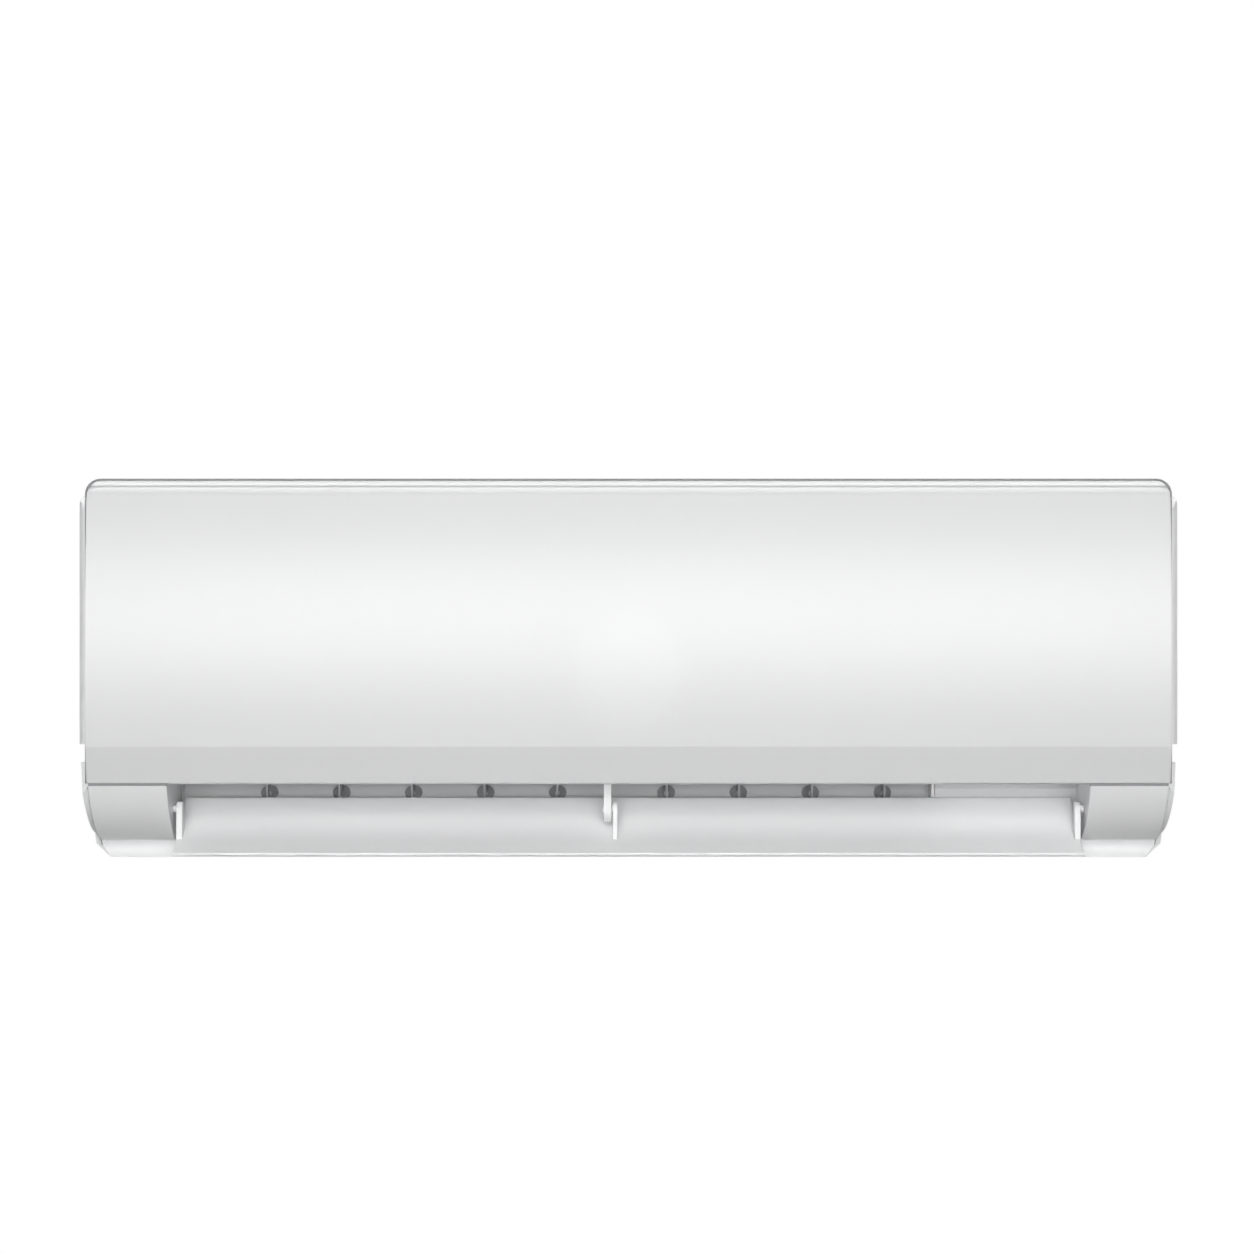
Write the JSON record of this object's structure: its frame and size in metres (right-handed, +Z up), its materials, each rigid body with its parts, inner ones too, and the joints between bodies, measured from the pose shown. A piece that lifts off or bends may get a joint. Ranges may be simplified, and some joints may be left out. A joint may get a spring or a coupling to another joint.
{
  "type": "mini split indoor unit",
  "caption": "Wall-mounted indoor unit of a split air conditioner with a hinged front panel, air louver, vanes, cross-flow fan and cooling coils on a wall plate.",
  "frame": {"origin": "on the wall plate's back face, midway across the unit and midway between its top and bottom", "axes": "+X to the right as seen from the room, +Y into the wall, +Z up"},
  "size_m": [0.845, 0.209, 0.293],
  "materials": {
    "gloss_white": "polished",
    "satin_white": "satin",
    "pale_plastic": "matt moulded",
    "grey_plastic": "matt moulded",
    "black_plastic": "matt moulded",
    "dark_plastic": "matt moulded",
    "filter_net": "woven net in a moulded frame",
    "galvanised": "galvanised sheet",
    "aluminium_fins": "thin stacked fins",
    "copper": "drawn copper tube",
    "brass_nuts": "forged and machined",
    "steel": "machined",
    "rubber": "moulded",
    "foam": "closed-cell foam",
    "circuit_board": "coated laminate"
  },
  "bodies": {
    "unit": {"bearing_holder": "pale_plastic", "casing_screws": "steel", "coil_sensor": "copper", "coil_sheet_left": "galvanised", "coil_sheet_right": "galvanised", "control_board": "circuit_board", "control_box": "galvanised", "control_box_cover": "galvanised", "corner_cover_left": "satin_white", "corner_cover_right": "satin_white", "drain_pan": "pale_plastic", "drain_plug": "rubber", "evaporator_front": "aluminium_fins", "evaporator_rear": "aluminium_fins", "evaporator_upper": "aluminium_fins", "fan_bearing": "rubber", "fan_motor": "steel", "filter_guide": "pale_plastic", "flare_nut_gas": "brass_nuts", "flare_nut_liquid": "brass_nuts", "front_frame": "satin_white", "gas_pipe": "copper", "intake_grille": "satin_white", "liquid_pipe": "copper", "louver_bracket": "satin_white", "louver_motor": "dark_plastic", "motor_clamp": "pale_plastic", "motor_rubber_rings": "rubber", "outlet_blank": "pale_plastic", "pipe_holder": "pale_plastic", "pipe_sleeve": "foam", "rear_chassis": "pale_plastic", "receiver_board": "circuit_board", "return_bends_left": "copper", "return_bends_right": "copper", "side_cap_left": "satin_white", "side_cap_right": "satin_white", "terminal_block": "black_plastic", "terminal_cover": "satin_white", "wall_plate": "galvanised"},
    "panel": {"front_panel": "gloss_white"},
    "louver": {"louver": "satin_white"},
    "fan": {"fan_wheel": "dark_plastic", "fan_stub_shaft": "steel", "motor_shaft": "steel"},
    "link_left": {"vane_link_left": "grey_plastic"},
    "link_right": {"vane_link_right": "grey_plastic"},
    "button": {"manual_button": "satin_white"},
    "filter_left": {"filter_left": "filter_net"},
    "filter_right": {"filter_right": "filter_net"},
    "vane_1": {"vane_1": "grey_plastic"},
    "vane_2": {"vane_2": "grey_plastic"},
    "vane_3": {"vane_3": "grey_plastic"},
    "vane_4": {"vane_4": "grey_plastic"},
    "vane_5": {"vane_5": "grey_plastic"},
    "vane_6": {"vane_6": "grey_plastic"},
    "vane_7": {"vane_7": "grey_plastic"},
    "vane_8": {"vane_8": "grey_plastic"},
    "vane_9": {"vane_9": "grey_plastic"}
  },
  "joints": [
    {"name": "panel_hinge", "type": "hinge", "parent": "unit", "child": "panel", "pos_m": [0, -0.187, 0.136], "axis": [-1, 0, 0], "range_deg": [0, 60]},
    {"name": "louver_hinge", "type": "hinge", "parent": "unit", "child": "louver", "pos_m": [0, -0.164, -0.1082], "axis": [1, 0, 0], "range_deg": [-75, 20]},
    {"name": "fan_spin", "type": "hinge", "parent": "unit", "child": "fan", "pos_m": [0, -0.105, -0.005], "axis": [1, 0, 0], "continuous": true},
    {"name": "vane_1_hinge", "type": "hinge", "parent": "unit", "child": "vane_1", "pos_m": [-0.2845, -0.11044, -0.09897], "axis": [0, -0.7506, 0.6607], "range_deg": [-35, 35]},
    {"name": "vane_2_hinge", "type": "hinge", "parent": "unit", "child": "vane_2", "pos_m": [-0.2274, -0.11044, -0.09897], "axis": [0, -0.7506, 0.6607], "range_deg": [-35, 35]},
    {"name": "vane_3_hinge", "type": "hinge", "parent": "unit", "child": "vane_3", "pos_m": [-0.1703, -0.11044, -0.09897], "axis": [0, -0.7506, 0.6607], "range_deg": [-35, 35]},
    {"name": "vane_4_hinge", "type": "hinge", "parent": "unit", "child": "vane_4", "pos_m": [-0.1132, -0.11044, -0.09897], "axis": [0, -0.7506, 0.6607], "range_deg": [-35, 35]},
    {"name": "vane_5_hinge", "type": "hinge", "parent": "unit", "child": "vane_5", "pos_m": [-0.0561, -0.11044, -0.09897], "axis": [0, -0.7506, 0.6607], "range_deg": [-35, 35]},
    {"name": "vane_6_hinge", "type": "hinge", "parent": "unit", "child": "vane_6", "pos_m": [0.0302, -0.11044, -0.09897], "axis": [0, -0.7506, 0.6607], "range_deg": [-35, 35]},
    {"name": "vane_7_hinge", "type": "hinge", "parent": "unit", "child": "vane_7", "pos_m": [0.0873, -0.11044, -0.09897], "axis": [0, -0.7506, 0.6607], "range_deg": [-35, 35]},
    {"name": "vane_8_hinge", "type": "hinge", "parent": "unit", "child": "vane_8", "pos_m": [0.1444, -0.11044, -0.09897], "axis": [0, -0.7506, 0.6607], "range_deg": [-35, 35]},
    {"name": "vane_9_hinge", "type": "hinge", "parent": "unit", "child": "vane_9", "pos_m": [0.2015, -0.11044, -0.09897], "axis": [0, -0.7506, 0.6607], "range_deg": [-35, 35]},
    {"name": "link_left_hinge", "type": "hinge", "parent": "vane_1", "child": "link_left", "pos_m": [-0.2845, -0.09459, -0.08095], "axis": [0, -0.7506, 0.6607], "range_deg": [-35, 35]},
    {"name": "link_right_hinge", "type": "hinge", "parent": "vane_6", "child": "link_right", "pos_m": [0.0302, -0.09459, -0.08095], "axis": [0, -0.7506, 0.6607], "range_deg": [-35, 35]},
    {"name": "button_press", "type": "slide", "parent": "unit", "child": "button", "axis": [0, 1, 0], "range_m": [0, 0.0015], "stiffness_N_per_m": 300},
    {"name": "filter_left_lift", "type": "slide", "parent": "unit", "child": "filter_left", "axis": [0, 0, 1], "range_m": [0, 0.006]},
    {"name": "filter_right_lift", "type": "slide", "parent": "unit", "child": "filter_right", "axis": [0, 0, 1], "range_m": [0, 0.006]}
  ],
  "couplings": [
    {"joint": "vane_2_hinge", "follows": "vane_1_hinge", "ratio": 1},
    {"joint": "vane_3_hinge", "follows": "vane_1_hinge", "ratio": 1},
    {"joint": "vane_4_hinge", "follows": "vane_1_hinge", "ratio": 1},
    {"joint": "vane_5_hinge", "follows": "vane_1_hinge", "ratio": 1},
    {"joint": "vane_7_hinge", "follows": "vane_6_hinge", "ratio": 1},
    {"joint": "vane_8_hinge", "follows": "vane_6_hinge", "ratio": 1},
    {"joint": "vane_9_hinge", "follows": "vane_6_hinge", "ratio": 1},
    {"joint": "link_left_hinge", "follows": "vane_1_hinge", "ratio": -1},
    {"joint": "link_right_hinge", "follows": "vane_6_hinge", "ratio": -1}
  ]
}
